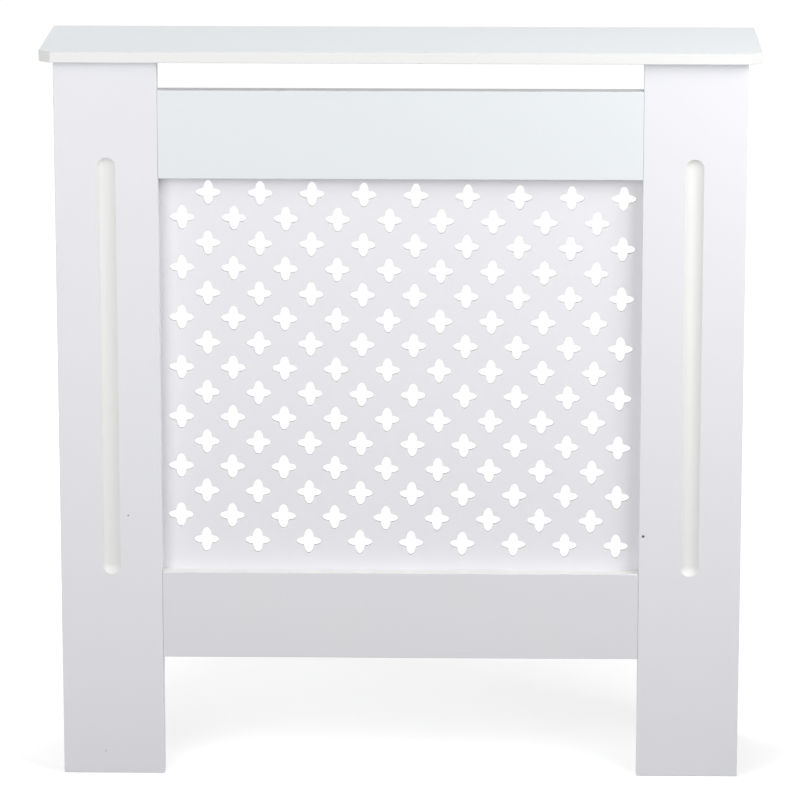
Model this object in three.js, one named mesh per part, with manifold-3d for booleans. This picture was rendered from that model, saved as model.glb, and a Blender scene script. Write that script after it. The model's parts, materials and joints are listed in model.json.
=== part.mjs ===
// A radiator cover cabinet of painted fibreboard: an open-backed box that stands on the floor against a
// wall, over a radiator. A face frame of two fluted stiles and two rails carries a thin board punched with
// staggered crosses. Warm air leaves through the crosses and through a slot under the shelf-like top.
//
// Millimetres, +Z up. The front faces -Y and the wall is at the +Y side. The origin is on the floor, at the
// middle of the cabinet's outer box.

import * as THREE from 'three';
import { mergeVertices } from 'three/addons/utils/BufferGeometryUtils.js';
import Module from 'manifold-3d';

// ---------------------------------------------------------------- driving dimensions

// The cabinet as a whole.
const WIDTH = 780;
const DEPTH = 190;
const HEIGHT = 815;

// The top board, which stands proud of the body at the front and at both sides.
const TOP_THICKNESS = 12;
const SIDE_OVERHANG = 15;
const FRONT_OVERHANG = 15;
const TOP_CORNER_CLIP = 13;

// The face frame.
const FRAME_THICKNESS = 19;
const STILE_WIDTH = 112;
const TOP_RAIL_HEIGHT = 97;
const BOTTOM_RAIL_HEIGHT = 97;
const VENT_GAP = 32;
const FLOOR_CLEARANCE = 135;

// The side panels, which stand behind the stiles.
const SIDE_THICKNESS = 15;

// Every long arris of a board is eased by a small chamfer, which shows as a fine line where two boards meet.
const EASE = 0.8;

// The round-bottomed flute down the middle of each stile.
const FLUTE_WIDTH = 20;
const FLUTE_DEPTH = 6;
const FLUTE_ABOVE_OPENING = 23;
const FLUTE_BELOW_OPENING = 2;

// The punched board and its lap behind the frame.
const LATTICE_THICKNESS = 3;
const LATTICE_LAP = 12;

// The crosses: two arms of their own widths, with elliptical ends, in staggered rows.
const CROSS_WIDTH = 27;
const CROSS_HEIGHT = 27;
const UPRIGHT_ARM_WIDTH = 10.4;
const LEVEL_ARM_WIDTH = 8.8;
const COLUMN_STEP = 28.3;
const ROW_STEP = 27.9;
const PATTERN_MARGIN = 8;
const PATTERN_LIFT = 4.6;
const PATTERN_TURN = THREE.MathUtils.degToRad(-0.75);

// Wooden dowels: two in each end of each rail, one half way up the joint between each stile and its side
// panel, and one from the head of each stile into the top board.
const DOWEL_DIAMETER = 8;
const DOWEL_LENGTH = 32;
const DOWEL_INSET = 22;
const STILE_DOWEL_SKIN = 8;
const TOP_DOWEL_SKIN = 4;

// Cam fittings hold the side panels to the stiles, and the top board to the side panels.
const CAM_DIAMETER = 15;
const CAM_SETBACK = 24;
const CAM_SKIN = 3;
const CAM_SLOT_LENGTH = 10;
const CAM_SLOT_WIDTH = 1.8;
const CAM_SLOT_DEPTH = 2;
const BOLT_THREAD_DIAMETER = 6;
const BOLT_SHANK_DIAMETER = 4.6;
const BOLT_HEAD_DIAMETER = 6.4;
const BOLT_HEAD_LENGTH = 3;
const STILE_THREAD_SKIN = 8;
const TOP_THREAD_SKIN = 3;
const STILE_FITTING_INSET = 90;
const TOP_FITTING_INSET = 45;

// Pan-head screws hold the punched board to the back of the frame, two to each rail and each stile.
const SCREW_DIAMETER = 3.6;
const SCREW_TIP = 3;
const SCREW_HEAD_DIAMETER = 7;
const SCREW_HEAD_HEIGHT = 2.2;
const LATTICE_SCREW_GRIP = 11;
const RAIL_SCREW_INSET = 95;
const STILE_SCREW_INSET = 110;

// Steel angles under the back of the top board, through which the cabinet is screwed to the wall.
const BRACKET_WIDTH = 20;
const BRACKET_ARM = 25;
const BRACKET_THICKNESS = 2;
const BRACKET_HOLE_DIAMETER = 5;
const BRACKET_INSET = 110;
const BRACKET_SCREW_GRIP = 8;

// Running clearance round every pin, screw and fitting in its hole.
const CLEARANCE = 0.3;

// Facets of the round forms.
const ARM_FACETS = 4;
const CAM_FACETS = 12;
const PIN_FACETS = 8;
const FLUTE_FACETS = 24;
const FLUTE_END_FACETS = 6;

// ---------------------------------------------------------------- places that follow from them

const wallPlane = DEPTH / 2;
const frameFront = FRONT_OVERHANG - DEPTH / 2;
const frameBack = frameFront + FRAME_THICKNESS;
const frameMiddle = (frameFront + frameBack) / 2;
const latticeBack = frameBack + LATTICE_THICKNESS;
const bodyHalf = WIDTH / 2 - SIDE_OVERHANG;
const sideInner = bodyHalf - SIDE_THICKNESS;
const sideMiddle = (bodyHalf + sideInner) / 2;
const openingHalf = bodyHalf - STILE_WIDTH;
const stileMiddle = (bodyHalf + openingHalf) / 2;
const topUnderside = HEIGHT - TOP_THICKNESS;
const topRailTop = topUnderside - VENT_GAP;
const openingTop = topRailTop - TOP_RAIL_HEIGHT;
const openingBottom = FLOOR_CLEARANCE + BOTTOM_RAIL_HEIGHT;
const openingMiddle = (openingTop + openingBottom) / 2;

const LEFT_AND_RIGHT = [
  ['left', -1],
  ['right', 1],
];
const X_AXIS = new THREE.Vector3(1, 0, 0);
const Y_AXIS = new THREE.Vector3(0, 1, 0);
const Z_AXIS = new THREE.Vector3(0, 0, 1);
const FORWARD = new THREE.Vector3(0, -1, 0);

// ---------------------------------------------------------------- finishes

const whitePaint = { color: 0xefeff2, roughness: 0.45, metalness: 0 };
const zincSteel = { color: 0xb9bdc2, roughness: 0.35, metalness: 0.9 };
const beech = { color: 0xd8b88c, roughness: 0.7, metalness: 0 };

// ---------------------------------------------------------------- solids and meshes

const wasm = await Module();
wasm.setup();

function solidOf(geometry) {
  const bare = geometry.clone();
  bare.deleteAttribute('normal');
  bare.deleteAttribute('uv');
  const welded = mergeVertices(bare);
  return new wasm.Manifold(
    new wasm.Mesh({
      numProp: 3,
      vertProperties: new Float32Array(welded.attributes.position.array),
      triVerts: new Uint32Array(welded.index.array),
    }),
  );
}

function geometryOf(solid) {
  const mesh = solid.getMesh();
  const shared = new THREE.BufferGeometry();
  shared.setAttribute('position', new THREE.BufferAttribute(mesh.vertProperties, mesh.numProp));
  shared.setIndex(new THREE.BufferAttribute(mesh.triVerts, 1));
  const faceted = shared.toNonIndexed();
  faceted.computeVertexNormals();
  return faceted;
}

function cut(geometry, cutters) {
  const remaining = cutters.reduce((solid, cutter) => solid.subtract(solidOf(cutter)), solidOf(geometry));
  return geometryOf(remaining);
}

const cabinet = new THREE.Group();

function addMesh(name, geometry, finish) {
  const mesh = new THREE.Mesh(geometry, new THREE.MeshStandardMaterial(finish));
  mesh.name = name;
  cabinet.add(mesh);
}

// Holes are collected for each board by name while its hardware is placed, and drilled at the end.
const holes = {};

function drill(board, cutter) {
  holes[board] = [...(holes[board] ?? []), cutter];
}

// Turns a geometry made along +Y to run along the direction given, from the point given.
function aim(geometry, point, direction) {
  const turn = new THREE.Quaternion().setFromUnitVectors(Y_AXIS, direction);
  return geometry.applyQuaternion(turn).translate(point.x, point.y, point.z);
}

// A round pin from one distance to another along a direction from a point.
function pin(diameter, from, to, point, direction, facets = PIN_FACETS) {
  const cylinder = new THREE.CylinderGeometry(diameter / 2, diameter / 2, to - from, facets);
  cylinder.translate(0, (from + to) / 2, 0);
  return aim(cylinder, point, direction);
}

// A turned piece from its profile of [radius, distance] pairs, which starts and ends on the axis.
function turned(profile, point, direction) {
  const outline = profile.map(([radius, distance]) => new THREE.Vector2(radius, distance));
  return aim(new THREE.LatheGeometry(outline, PIN_FACETS), point, direction);
}

function rectangle(left, bottom, right, top) {
  const outline = new THREE.Shape();
  outline.moveTo(left, bottom);
  outline.lineTo(right, bottom);
  outline.lineTo(right, top);
  outline.lineTo(left, top);
  outline.closePath();
  return outline;
}

// A board of the outline given, lying in XY with its lower face at z = 0. The arrises of both faces are eased.
function easedBoard(outline, thickness) {
  return new THREE.ExtrudeGeometry(outline, {
    depth: thickness - 2 * EASE,
    bevelThickness: EASE,
    bevelSize: EASE,
    bevelOffset: -EASE,
    bevelSegments: 1,
  }).translate(0, 0, EASE);
}

// Stands a board up on its edge to face the front, with its front face on the plane y = front.
function facingFront(geometry, front, thickness) {
  return geometry.rotateX(Math.PI / 2).translate(0, front + thickness, 0);
}

// ---------------------------------------------------------------- top board

function topBoard() {
  const half = WIDTH / 2;
  const front = -DEPTH / 2;
  const outline = new THREE.Shape();
  outline.moveTo(-half, wallPlane);
  outline.lineTo(-half, front + TOP_CORNER_CLIP);
  outline.lineTo(-half + TOP_CORNER_CLIP, front);
  outline.lineTo(half - TOP_CORNER_CLIP, front);
  outline.lineTo(half, front + TOP_CORNER_CLIP);
  outline.lineTo(half, wallPlane);
  outline.closePath();
  return easedBoard(outline, TOP_THICKNESS).translate(0, 0, topUnderside);
}

// ---------------------------------------------------------------- face frame

// The flute is the path of a ball-nosed cutter: a long capsule, most of it in front of the stile.
function flute(middle) {
  const radius = (FLUTE_WIDTH ** 2 / 4 + FLUTE_DEPTH ** 2) / (2 * FLUTE_DEPTH);
  const top = openingTop + FLUTE_ABOVE_OPENING - FLUTE_WIDTH / 2;
  const bottom = openingBottom - FLUTE_BELOW_OPENING + FLUTE_WIDTH / 2;
  const capsule = new THREE.CapsuleGeometry(radius, top - bottom, FLUTE_END_FACETS, FLUTE_FACETS);
  const centre = new THREE.Vector3(middle, frameFront + FLUTE_DEPTH - radius, (top + bottom) / 2);
  return aim(capsule, centre, Z_AXIS);
}

function stile(sign) {
  const inner = sign * openingHalf;
  const outer = sign * bodyHalf;
  const outline = rectangle(Math.min(inner, outer), 0, Math.max(inner, outer), topUnderside);
  return facingFront(easedBoard(outline, FRAME_THICKNESS), frameFront, FRAME_THICKNESS);
}

function rail(bottom, height) {
  const outline = rectangle(-openingHalf, bottom, openingHalf, bottom + height);
  return facingFront(easedBoard(outline, FRAME_THICKNESS), frameFront, FRAME_THICKNESS);
}

// A dowel across the joint between two boards. It reaches the stated way along the direction into the one
// ahead, and the rest of its length lies in the one behind.
function addDowel(name, joint, direction, ahead, boards) {
  const behind = ahead - DOWEL_LENGTH;
  const hole = pin(DOWEL_DIAMETER + 2 * CLEARANCE, behind - CLEARANCE, ahead + CLEARANCE, joint, direction);
  boards.forEach((board) => drill(board, hole));
  addMesh(name, pin(DOWEL_DIAMETER, behind, ahead, joint, direction), beech);
}

// Two dowels join each rail end to its stile, half of their length in each.
function addRailDowels(railName, bottom, height) {
  const levels = [
    ['lower', bottom + DOWEL_INSET],
    ['upper', bottom + height - DOWEL_INSET],
  ];
  for (const [side, sign] of LEFT_AND_RIGHT) {
    for (const [level, z] of levels) {
      const joint = new THREE.Vector3(sign * openingHalf, frameMiddle, z);
      const name = `${railName}_dowel_${side}_${level}`;
      addDowel(name, joint, X_AXIS, DOWEL_LENGTH / 2, [railName, `${side}_stile`]);
    }
  }
}

// One dowel stands in the head of each stile and locates the top board.
function addTopDowel(side, sign) {
  const joint = new THREE.Vector3(sign * stileMiddle, frameMiddle, topUnderside);
  const boards = ['top_panel', `${side}_stile`];
  addDowel(`${side}_top_dowel`, joint, Z_AXIS, TOP_THICKNESS - TOP_DOWEL_SKIN, boards);
}

// One dowel half way up locates each side panel on the back of its stile.
function addSideDowel(side, sign) {
  const joint = new THREE.Vector3(sign * sideMiddle, frameBack, topUnderside / 2);
  const boards = [`${side}_stile`, `${side}_side_panel`];
  addDowel(`${side}_stile_dowel`, joint, FORWARD, FRAME_THICKNESS - STILE_DOWEL_SKIN, boards);
}

// ---------------------------------------------------------------- side panels

function sidePanel(sign) {
  const outline = rectangle(frameBack, 0, wallPlane, topUnderside);
  const start = sign > 0 ? sideInner : -bodyHalf;
  const board = easedBoard(outline, SIDE_THICKNESS);
  return board.rotateZ(Math.PI / 2).rotateY(Math.PI / 2).translate(start, 0, 0);
}

// ---------------------------------------------------------------- punched board

// The outline of one cross: four arms in turn, each ending in half an ellipse that starts at inner corners.
function crossOutline(centre) {
  const arms = [
    { length: CROSS_WIDTH / 2, half: LEVEL_ARM_WIDTH / 2, root: UPRIGHT_ARM_WIDTH / 2 },
    { length: CROSS_HEIGHT / 2, half: UPRIGHT_ARM_WIDTH / 2, root: LEVEL_ARM_WIDTH / 2 },
  ];
  const points = [];
  for (let quarter = 0; quarter < 4; quarter += 1) {
    const { length, half, root } = arms[quarter % 2];
    for (let facet = 0; facet < ARM_FACETS; facet += 1) {
      const angle = Math.PI * (facet / ARM_FACETS - 1 / 2);
      const point = new THREE.Vector2(root + (length - root) * Math.cos(angle), half * Math.sin(angle));
      point.rotateAround(new THREE.Vector2(), (quarter * Math.PI) / 2 + PATTERN_TURN);
      points.push(point.add(centre));
    }
  }
  return new THREE.Path(points);
}

// How many steps of the pattern fit between the margins of an opening.
function stepsWithin(opening, crossSize, step) {
  return Math.floor((opening - crossSize - 2 * PATTERN_MARGIN) / step);
}

// The crosses stand on every second place of a grid, so that each row is set half a pitch off its neighbours.
function crossCentres() {
  const acrossSteps = stepsWithin(2 * openingHalf, CROSS_WIDTH, COLUMN_STEP);
  const downSteps = stepsWithin(openingTop - openingBottom, CROSS_HEIGHT, ROW_STEP);
  const middle = new THREE.Vector2(0, openingMiddle + PATTERN_LIFT);
  const centres = [];
  for (let row = 0; row <= downSteps; row += 1) {
    for (let column = (row + 1) % 2; column <= acrossSteps; column += 2) {
      const x = (column - acrossSteps / 2) * COLUMN_STEP;
      const z = (downSteps / 2 - row) * ROW_STEP;
      const centre = new THREE.Vector2(x, z).rotateAround(new THREE.Vector2(), PATTERN_TURN);
      centres.push(centre.add(middle));
    }
  }
  return centres;
}

// The places of the screws round the edge of the punched board, each with its name and the board it bites in.
function latticeScrewPlaces() {
  const lapMiddle = LATTICE_LAP / 2;
  const places = [];
  for (const [side, sign] of LEFT_AND_RIGHT) {
    const railX = sign * (openingHalf - RAIL_SCREW_INSET);
    const stileX = sign * (openingHalf + lapMiddle);
    const stileName = `${side}_stile`;
    places.push(
      { name: `top_rail_${side}`, board: 'top_rail', x: railX, z: openingTop + lapMiddle },
      { name: `bottom_rail_${side}`, board: 'bottom_rail', x: railX, z: openingBottom - lapMiddle },
      { name: `${stileName}_upper`, board: stileName, x: stileX, z: openingTop - STILE_SCREW_INSET },
      { name: `${stileName}_lower`, board: stileName, x: stileX, z: openingBottom + STILE_SCREW_INSET },
    );
  }
  return places;
}

function latticePanel() {
  const half = openingHalf + LATTICE_LAP;
  const outline = rectangle(-half, openingBottom - LATTICE_LAP, half, openingTop + LATTICE_LAP);
  outline.holes = crossCentres().map(crossOutline);
  const board = new THREE.ExtrudeGeometry(outline, { depth: LATTICE_THICKNESS, bevelEnabled: false });
  return facingFront(board, frameBack, LATTICE_THICKNESS);
}

// ---------------------------------------------------------------- screws

// A pan-head screw whose head rests on the plane through the point and whose shank runs along the direction.
function screw(length, point, direction) {
  const shank = SCREW_DIAMETER / 2;
  const head = SCREW_HEAD_DIAMETER / 2;
  const profile = [
    [0, -SCREW_HEAD_HEIGHT],
    [head, -SCREW_HEAD_HEIGHT],
    [head, 0],
    [shank, 0],
    [shank, length - SCREW_TIP],
    [0, length],
  ];
  return turned(profile, point, direction);
}

function addScrew(name, point, direction, boards, grip, passes) {
  const length = passes + grip;
  const hole = pin(SCREW_DIAMETER + 2 * CLEARANCE, -CLEARANCE, length + CLEARANCE, point, direction);
  boards.forEach((board) => drill(board, hole));
  addMesh(name, screw(length, point, direction), zincSteel);
}

function addLatticeScrews() {
  for (const { name, board, x, z } of latticeScrewPlaces()) {
    const point = new THREE.Vector3(x, latticeBack, z);
    const boards = [board, 'lattice_panel'];
    addScrew(`lattice_screw_${name}`, point, FORWARD, boards, LATTICE_SCREW_GRIP, LATTICE_THICKNESS);
  }
}

// ---------------------------------------------------------------- cam fittings

// A cam fitting draws two boards together. Its bolt is screwed into one of them, from the joint along the
// direction `into`, and its head lies in the open side of a round cam that is let into the other board's
// inner face, which looks along `faces`.
function addCamFitting(name, joint, into, threadLength, faces, threadBoard, camBoard) {
  const headEnd = -CAM_SETBACK;
  const neckEnd = headEnd + BOLT_HEAD_LENGTH;
  const boltProfile = [
    [0, headEnd],
    [BOLT_HEAD_DIAMETER / 2, headEnd],
    [BOLT_HEAD_DIAMETER / 2, neckEnd],
    [BOLT_SHANK_DIAMETER / 2, neckEnd],
    [BOLT_SHANK_DIAMETER / 2, 0],
    [BOLT_THREAD_DIAMETER / 2, 0],
    [BOLT_THREAD_DIAMETER / 2, threadLength],
    [0, threadLength],
  ];
  addMesh(`${name}_bolt`, turned(boltProfile, joint, into), zincSteel);
  const boreEnd = threadLength + CLEARANCE;
  drill(threadBoard, pin(BOLT_THREAD_DIAMETER + 2 * CLEARANCE, -CLEARANCE, boreEnd, joint, into));
  drill(camBoard, pin(BOLT_HEAD_DIAMETER + 2 * CLEARANCE, headEnd, CLEARANCE, joint, into));

  const camCentre = joint.clone().addScaledVector(into, headEnd);
  const face = SIDE_THICKNESS / 2;
  const camDepth = SIDE_THICKNESS - CAM_SKIN;
  const channel = BOLT_HEAD_DIAMETER + 2 * CLEARANCE;
  const openSide = pin(channel, headEnd - CLEARANCE, headEnd + CAM_DIAMETER, joint, into);
  const slot = new THREE.BoxGeometry(CAM_SLOT_WIDTH, 2 * CAM_SLOT_DEPTH, CAM_SLOT_LENGTH);
  const driverSlot = aim(slot.translate(0, face, 0), camCentre, faces);
  const cam = pin(CAM_DIAMETER, face - camDepth, face, camCentre, faces, CAM_FACETS);
  addMesh(`${name}_cam`, cut(cam, [openSide, driverSlot]), zincSteel);
  const boreDiameter = CAM_DIAMETER + 2 * CLEARANCE;
  const boreBottom = face - camDepth - CLEARANCE;
  drill(camBoard, pin(boreDiameter, boreBottom, face + CLEARANCE, camCentre, faces, CAM_FACETS));
}

function addSideFittings(side, sign) {
  const inward = X_AXIS.clone().multiplyScalar(-sign);
  const stileThread = FRAME_THICKNESS - STILE_THREAD_SKIN;
  const heights = [
    ['lower', STILE_FITTING_INSET],
    ['upper', topUnderside - STILE_FITTING_INSET],
  ];
  for (const [level, z] of heights) {
    const joint = new THREE.Vector3(sign * sideMiddle, frameBack, z);
    const name = `${side}_stile_${level}`;
    addCamFitting(name, joint, FORWARD, stileThread, inward, `${side}_stile`, `${side}_side_panel`);
  }
  const topThread = TOP_THICKNESS - TOP_THREAD_SKIN;
  const depths = [
    ['front', frameBack + TOP_FITTING_INSET],
    ['rear', wallPlane - TOP_FITTING_INSET],
  ];
  for (const [end, y] of depths) {
    const joint = new THREE.Vector3(sign * sideMiddle, y, topUnderside);
    const name = `${side}_top_${end}`;
    addCamFitting(name, joint, Z_AXIS, topThread, inward, 'top_panel', `${side}_side_panel`);
  }
}

// ---------------------------------------------------------------- wall brackets

// An angle with one arm under the top board and the other flat against the wall.
function bracketAngle(middle) {
  const outline = new THREE.Shape();
  outline.moveTo(wallPlane, topUnderside);
  outline.lineTo(wallPlane - BRACKET_ARM, topUnderside);
  outline.lineTo(wallPlane - BRACKET_ARM, topUnderside - BRACKET_THICKNESS);
  outline.lineTo(wallPlane - BRACKET_THICKNESS, topUnderside - BRACKET_THICKNESS);
  outline.lineTo(wallPlane - BRACKET_THICKNESS, topUnderside - BRACKET_ARM);
  outline.lineTo(wallPlane, topUnderside - BRACKET_ARM);
  outline.closePath();
  const angle = new THREE.ExtrudeGeometry(outline, { depth: BRACKET_WIDTH, bevelEnabled: false });
  return angle.rotateZ(Math.PI / 2).rotateY(Math.PI / 2).translate(middle - BRACKET_WIDTH / 2, 0, 0);
}

function addWallBracket(side, sign) {
  const name = `${side}_wall_bracket`;
  const middle = sign * (openingHalf - BRACKET_INSET);
  const armMiddle = (BRACKET_ARM + BRACKET_THICKNESS) / 2;
  const wallHole = new THREE.Vector3(middle, wallPlane, topUnderside - armMiddle);
  const past = BRACKET_THICKNESS + CLEARANCE;
  drill(name, pin(BRACKET_HOLE_DIAMETER, -past, CLEARANCE, wallHole, Y_AXIS));
  const seat = new THREE.Vector3(middle, wallPlane - armMiddle, topUnderside - BRACKET_THICKNESS);
  addScrew(`${name}_screw`, seat, Z_AXIS, ['top_panel', name], BRACKET_SCREW_GRIP, BRACKET_THICKNESS);
  addMesh(name, cut(bracketAngle(middle), holes[name]), zincSteel);
}

// ---------------------------------------------------------------- assembly

addRailDowels('top_rail', openingTop, TOP_RAIL_HEIGHT);
addRailDowels('bottom_rail', FLOOR_CLEARANCE, BOTTOM_RAIL_HEIGHT);
addLatticeScrews();
for (const [side, sign] of LEFT_AND_RIGHT) {
  addTopDowel(side, sign);
  addSideDowel(side, sign);
  addSideFittings(side, sign);
  addWallBracket(side, sign);
}

for (const [side, sign] of LEFT_AND_RIGHT) {
  const stileName = `${side}_stile`;
  const sideName = `${side}_side_panel`;
  addMesh(stileName, cut(stile(sign), [flute(sign * stileMiddle), ...holes[stileName]]), whitePaint);
  addMesh(sideName, cut(sidePanel(sign), holes[sideName]), whitePaint);
}
addMesh('top_rail', cut(rail(openingTop, TOP_RAIL_HEIGHT), holes.top_rail), whitePaint);
addMesh('bottom_rail', cut(rail(FLOOR_CLEARANCE, BOTTOM_RAIL_HEIGHT), holes.bottom_rail), whitePaint);
addMesh('lattice_panel', cut(latticePanel(), holes.lattice_panel), whitePaint);
addMesh('top_panel', cut(topBoard(), holes.top_panel), whitePaint);

export default cabinet;
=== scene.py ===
import json
import math

import bpy
from mathutils import Matrix, Vector
from mathutils.geometry import tessellate_polygon


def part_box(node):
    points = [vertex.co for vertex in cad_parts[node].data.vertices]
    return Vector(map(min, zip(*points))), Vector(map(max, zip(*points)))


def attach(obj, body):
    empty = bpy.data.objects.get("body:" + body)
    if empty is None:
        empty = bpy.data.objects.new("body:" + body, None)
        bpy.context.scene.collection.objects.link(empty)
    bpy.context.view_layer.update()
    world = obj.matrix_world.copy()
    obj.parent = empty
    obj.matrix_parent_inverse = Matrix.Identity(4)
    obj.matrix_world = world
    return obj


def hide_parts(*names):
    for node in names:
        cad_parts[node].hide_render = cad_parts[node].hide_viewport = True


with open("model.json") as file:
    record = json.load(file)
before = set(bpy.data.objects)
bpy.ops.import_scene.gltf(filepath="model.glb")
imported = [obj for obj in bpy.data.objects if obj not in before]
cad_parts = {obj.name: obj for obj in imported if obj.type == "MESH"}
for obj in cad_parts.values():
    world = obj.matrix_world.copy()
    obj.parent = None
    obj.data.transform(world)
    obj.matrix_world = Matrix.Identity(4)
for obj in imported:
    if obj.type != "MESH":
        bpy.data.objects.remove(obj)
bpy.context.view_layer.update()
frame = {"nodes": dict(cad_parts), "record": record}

# The looks of a painted radiator cover cabinet, in metres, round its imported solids. Each board, cam, screw
# and angle is made again with softly rounded arrises and finer detail, and takes the place of its plain
# solid. The front faces -Y, and the right is +X.

MM = 0.001

# Rounded arrises of the boards and of the punched board, and the corners where two arrises meet.
BOARD_ARRIS = 0.8 * MM
BOARD_CORNER = 1.2 * MM
PUNCHED_ARRIS = 0.35 * MM
SHEET_ARRIS = 0.2 * MM
ARRIS_STEPS = 3
CORNER_STEPS = 3

# The top board's clipped front corners.
TOP_CORNER_CLIP = 13 * MM

# The round-bottomed flutes.
FLUTE_WIDTH = 20 * MM
FLUTE_DEPTH = 6 * MM
FLUTE_ABOVE_OPENING = 23 * MM
FLUTE_BELOW_OPENING = 2 * MM
FLUTE_RIM = 0.5 * MM
FLUTE_STEPS = 12
FLUTE_RIM_STEPS = 3
FLUTE_END_STEPS = 16

# The crosses.
CROSS_WIDTH = 27 * MM
CROSS_HEIGHT = 27 * MM
UPRIGHT_ARM_WIDTH = 10.4 * MM
LEVEL_ARM_WIDTH = 8.8 * MM
CROSS_CORNER = 1.0 * MM
COLUMN_STEP = 28.3 * MM
ROW_STEP = 27.9 * MM
PATTERN_MARGIN = 8 * MM
PATTERN_LIFT = 4.6 * MM
PATTERN_TURN = math.radians(-0.75)
ARM_STEPS = 8
CROSS_CORNER_STEPS = 3

# Bores for the hardware, by a word of its node's name, and their clearance at the blind end.
BORE_DIAMETERS = {"dowel": 8.6 * MM, "bolt": 6.6 * MM, "screw": 4.2 * MM}
BORE_CLEARANCE = 0.3 * MM
BORE_STEPS = 24

# Cams, let into the inner faces of the side panels, each with an open side for the head of its bolt.
CAM_DIAMETER = 15 * MM
CAM_RIM = 0.5 * MM
CAM_STEPS = 48
BOLT_CHANNEL_DIAMETER = 7 * MM
CAM_RECESS_REACH = 4.6 * MM
CAM_RECESS_WIDTH = 2.0 * MM
CAM_RECESS_DEPTH = 2.2 * MM

# Pan-head screws.
SCREW_DIAMETER = 3.6 * MM
SCREW_CORE_DIAMETER = 2.7 * MM
SCREW_PITCH = 1.4 * MM
SCREW_TIP = 3 * MM
SCREW_HEAD_DIAMETER = 7 * MM
SCREW_HEAD_HEIGHT = 2.2 * MM
SCREW_HEAD_FLAT = 3.4 * MM
SCREW_HEAD_SHOULDER = 0.6 * MM
SCREW_POINT = 0.15 * MM
SCREW_DOME_STEPS = 5
SCREW_RECESS_REACH = 1.5 * MM
SCREW_RECESS_WIDTH = 0.75 * MM
SCREW_RECESS_DEPTH = 1.3 * MM
SCREW_STEPS = 32
RECESS_TAPER = 0.7

# A curved wall is unrolled flat to be filled, with its long edges drawn in by this, so that no triangle
# lies along one of them.
UNROLLED_SLACK = 0.2 * MM

# The steel angles at the back.
BRACKET_THICKNESS = 2 * MM
BRACKET_OUTER_BEND = 2.6 * MM
BRACKET_INNER_BEND = 0.6 * MM
BRACKET_END_CORNER = 0.3 * MM
BRACKET_HOLE_DIAMETER = 5 * MM

# Tiny dark nibs in the paint of the stiles, as (place, radius).
STILE_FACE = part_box("left_stile")[0].y
PAINT_NIBS = [
    ((267.6 * MM, STILE_FACE, 275.7 * MM), 2.0 * MM),
    ((-299.9 * MM, STILE_FACE, 296.7 * MM), 1.0 * MM),
    ((-328.4 * MM, STILE_FACE, 25.3 * MM), 0.7 * MM),
]
NIB_COLOUR = (0.05, 0.05, 0.05, 1.0)

# Satin paint on fibreboard. Shares are of the slot's colour, scales are in waves to the metre, and a cover
# says how much of a tone shows at most. A band is where a noise fades in.
CREAMY_SHARES = (1.01, 1.01, 0.965)
# Milled faces are creamier, and a little lighter as a painted highlight in the flutes and on the edges.
MILLED_TINT_AND_HIGHLIGHT = (1.02, 1.02, 0.98)
CLOUD_SCALE = 11
CLOUD_SHARE = 0.99
CLOUD_COVER = 0.4
MOTTLE_SCALE = 260
MOTTLE_SHARE = 0.985
MOTTLE_COVER = 0.5
RUBBING_SCALE = 70
RUBBING_BAND = (0.45, 0.7)
RUBBING_COVER = 0.5
RUBBED_PAINT = (0.62, 0.60, 0.57, 1.0)
RAW_FIBREBOARD = (0.24, 0.20, 0.16, 1.0)
SHEEN_SCALE = 45
PAINT_ROUGHNESS = (0.42, 0.54)
PAINT_SPECULAR = 0.5
STIPPLE_SCALE = 900
STIPPLE_HEIGHT = 0.04 * MM
WAVE_SCALE = 60
WAVE_HEIGHT = 0.1 * MM

# Bright zinc plating.
BLOOM_SCALE = 140
BLOOM_SHARES = (1.08, 1.04, 0.96)
DULL_SHARE = 0.9
PLATING_SCALE = 420
PLATING_ROUGHNESS = (0.26, 0.44)
DRAWING_SCALE = 1500
DRAWING_HEIGHT = 0.03 * MM

# Bare beech. Its grain is stretched along one axis.
GRAIN_LENGTHWISE = 0.08
STREAK_SCALE = 30
STREAK_HEIGHT = 0.1 * MM
DARK_STREAK_SHARE = 0.86
PALE_STREAK_SHARE = 1.08
FLECK_SCALE = 120
FLECK_SHARE = 0.6
FLECK_BAND = (0.55, 0.75)
FLECK_COVER = 0.6
BEECH_ROUGHNESS = (0.62, 0.78)

# Turned forms keep a sharp edge where their profile turns by more than this.
SHARP_TURN = math.radians(50)

# Two unit vectors point the same way where their dot product is above this.
ALIGNED = 0.999

# The frame's axes, which also name the across, up and out of a piece's local frame.
X = Vector((1, 0, 0))
Y = Vector((0, 1, 0))
Z = Vector((0, 0, 1))


# ---------------------------------------------------------------- meshes

def placed(origin, across, up):
    """The matrix from local (across, up, out) to the frame."""
    out = across.cross(up)
    return Matrix.Translation(origin) @ Matrix((across, up, out)).transposed().to_4x4()


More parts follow.
